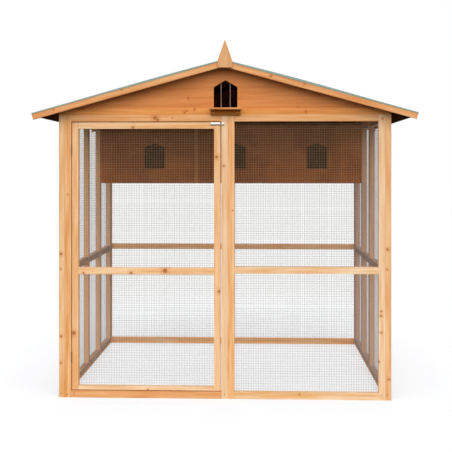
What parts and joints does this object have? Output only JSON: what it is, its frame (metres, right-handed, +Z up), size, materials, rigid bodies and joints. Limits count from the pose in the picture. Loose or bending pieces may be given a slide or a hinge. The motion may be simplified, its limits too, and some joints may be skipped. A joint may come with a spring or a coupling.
{
  "type": "wooden dovecote",
  "caption": "Walk-in dovecote of softwood laths and welded mesh, with a hinged mesh door, low gabled roof, barred pigeonhole with landing shelf, and a nest box inside.",
  "frame": {"origin": "on the ground under the middle of the roof, at the centre of the footprint", "axes": "+X to the right along the front, +Y from front to back, +Z up"},
  "size_m": [2.4302, 2.008, 2.2709],
  "materials": {
    "lath_wood": "honey-stained softwood, planed, satin",
    "gable_wood": "honey-stained softwood board, wavy grain",
    "trim_wood": "honey-stained softwood, planed, satin",
    "deck_wood": "stained boarding, matt",
    "nest_wood": "dark brown boards, matt",
    "roof_felt": "green mineral felt, granular",
    "mesh_wire": "galvanised wire",
    "zinc_fittings": "bright zinc plate"
  },
  "bodies": {
    "loft": {"left_side_posts": "lath_wood", "left_side_rails": "lath_wood", "right_side_posts": "lath_wood", "right_side_rails": "lath_wood", "back_posts": "lath_wood", "back_rails": "lath_wood", "door_frame_stiles": "lath_wood", "door_frame_rails": "lath_wood", "front_panel_stiles": "lath_wood", "front_panel_rails": "lath_wood", "eave_plates": "lath_wood", "front_gable_board": "gable_wood", "back_gable_board": "gable_wood", "gable_strips": "gable_wood", "front_bargeboard_left": "trim_wood", "front_bargeboard_right": "trim_wood", "back_bargeboard_left": "trim_wood", "back_bargeboard_right": "trim_wood", "finials": "trim_wood", "landing_shelf": "trim_wood", "shelf_cleat": "trim_wood", "roof_deck_left": "deck_wood", "roof_deck_right": "deck_wood", "nest_front_left": "nest_wood", "nest_front_middle": "nest_wood", "nest_front_right": "nest_wood", "nest_back": "nest_wood", "nest_ends": "nest_wood", "nest_floor_and_lid": "nest_wood", "roof_felt_left": "roof_felt", "roof_felt_right": "roof_felt", "left_side_mesh": "mesh_wire", "right_side_mesh": "mesh_wire", "back_mesh": "mesh_wire", "front_panel_mesh": "mesh_wire", "entry_bars": "mesh_wire", "hinge_frame_leaves": "zinc_fittings", "bolt_keeper": "zinc_fittings"},
    "door": {"door_stiles": "lath_wood", "door_rails": "lath_wood", "door_mesh": "mesh_wire", "hinge_door_leaves": "zinc_fittings", "bolt_plate": "zinc_fittings"},
    "bolt": {"bolt_pin": "zinc_fittings"}
  },
  "joints": [
    {"name": "door_hinge", "type": "hinge", "parent": "loft", "child": "door", "pos_m": [-0.9775, -0.9038, 0.9], "axis": [0, 0, -1], "range_deg": [0, 110]},
    {"name": "bolt_slide", "type": "slide", "parent": "door", "child": "bolt", "axis": [1, 0, 0], "range_m": [0, 0.022]}
  ]
}
